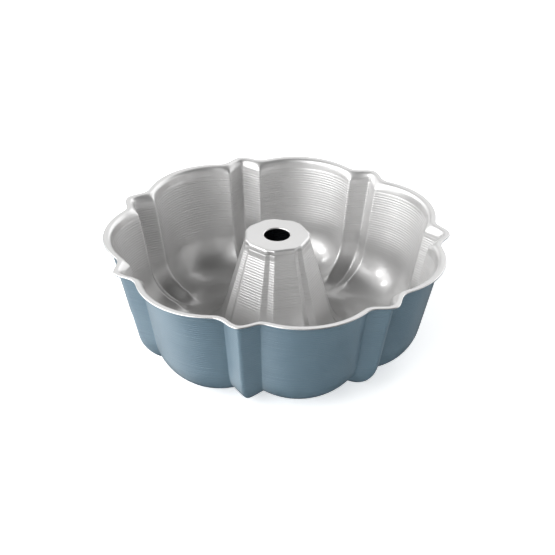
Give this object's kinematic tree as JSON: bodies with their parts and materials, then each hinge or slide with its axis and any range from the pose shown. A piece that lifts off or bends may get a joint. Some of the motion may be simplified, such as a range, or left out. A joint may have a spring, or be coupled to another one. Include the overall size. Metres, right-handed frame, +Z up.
{
  "type": "fluted tube cake pan",
  "caption": "Fluted ring cake pan of drawn, coated aluminium: round lobes between narrow ribs, a flat turned-out lip and a faceted hollow centre tube with a vent hole.",
  "frame": {"origin": "on the pan's axis, in the plane that it stands on", "axes": "+Z up along the centre tube; -Y runs out through the middle of a rib, so the pan is mirror-symmetric about X = 0"},
  "size_m": [0.2582, 0.2618, 0.089],
  "materials": {
    "silver_release_coat": "silver non-stick coating, satin over fine turned rings on the walls and tube, glossier in the lobes' bowls",
    "bare_aluminium": "bare cut edges of the sheet, at the lip and the vent hole",
    "slate_blue_enamel": "slate-blue baked enamel, satin, with fine turned rings showing through"
  },
  "bodies": {
    "root": {"interior_release_coat": "silver_release_coat", "aluminium_body": "bare_aluminium", "exterior_enamel_coat": "slate_blue_enamel"}
  },
  "joints": []
}
